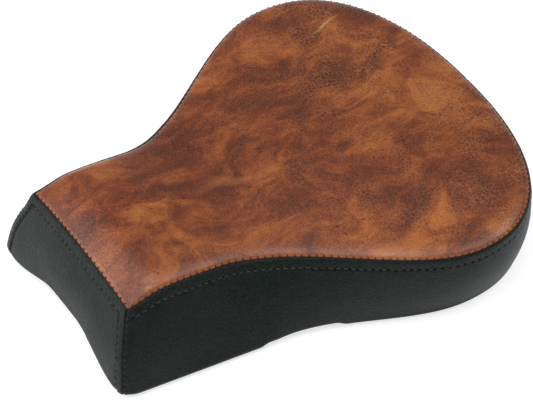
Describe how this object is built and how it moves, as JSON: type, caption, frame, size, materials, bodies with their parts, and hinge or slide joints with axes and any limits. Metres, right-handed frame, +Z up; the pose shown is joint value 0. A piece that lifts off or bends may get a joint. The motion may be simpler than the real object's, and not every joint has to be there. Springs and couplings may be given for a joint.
{
  "type": "motorcycle passenger seat",
  "caption": "Passenger seat pad with a narrow squared front, a wide round rear, a brown leather top, black vinyl walls and an arched base pan.",
  "frame": {"origin": "centre of the bounding box in plan, on the plane that the hem rests on", "axes": "+Y from the narrow squared front end to the wide round rear end, +Z up through the seat, X across it"},
  "size_m": [0.316, 0.3761, 0.0849],
  "materials": {
    "brown_leather": "waxed pull-up leather, rubbed lighter along the creases",
    "black_vinyl": "grained upholstery vinyl, satin",
    "foam": "moulded flexible urethane foam",
    "pan_plastic": "textured thermoformed sheet",
    "carpet": "short-pile needled carpet",
    "bracket_steel": "black zinc or powder coat on steel strap",
    "zinc_steel": "bright zinc plate",
    "rubber": "moulded rubber, matte"
  },
  "bodies": {
    "root": {"top_panel": "brown_leather", "side_panel_left": "black_vinyl", "side_panel_right": "black_vinyl", "front_panel": "black_vinyl", "foam_cushion": "foam", "base_pan": "pan_plastic", "carpet_pad_left": "carpet", "carpet_pad_right": "carpet", "front_bracket": "bracket_steel", "rear_bracket": "bracket_steel", "front_left_bolt": "zinc_steel", "front_left_washer": "zinc_steel", "front_left_tee_nut": "zinc_steel", "front_right_bolt": "zinc_steel", "front_right_washer": "zinc_steel", "front_right_tee_nut": "zinc_steel", "rear_left_bolt": "zinc_steel", "rear_left_washer": "zinc_steel", "rear_left_tee_nut": "zinc_steel", "rear_right_bolt": "zinc_steel", "rear_right_washer": "zinc_steel", "rear_right_tee_nut": "zinc_steel", "bumper_left_1": "rubber", "bumper_left_2": "rubber", "bumper_left_3": "rubber", "bumper_right_1": "rubber", "bumper_right_2": "rubber", "bumper_right_3": "rubber"}
  },
  "joints": []
}
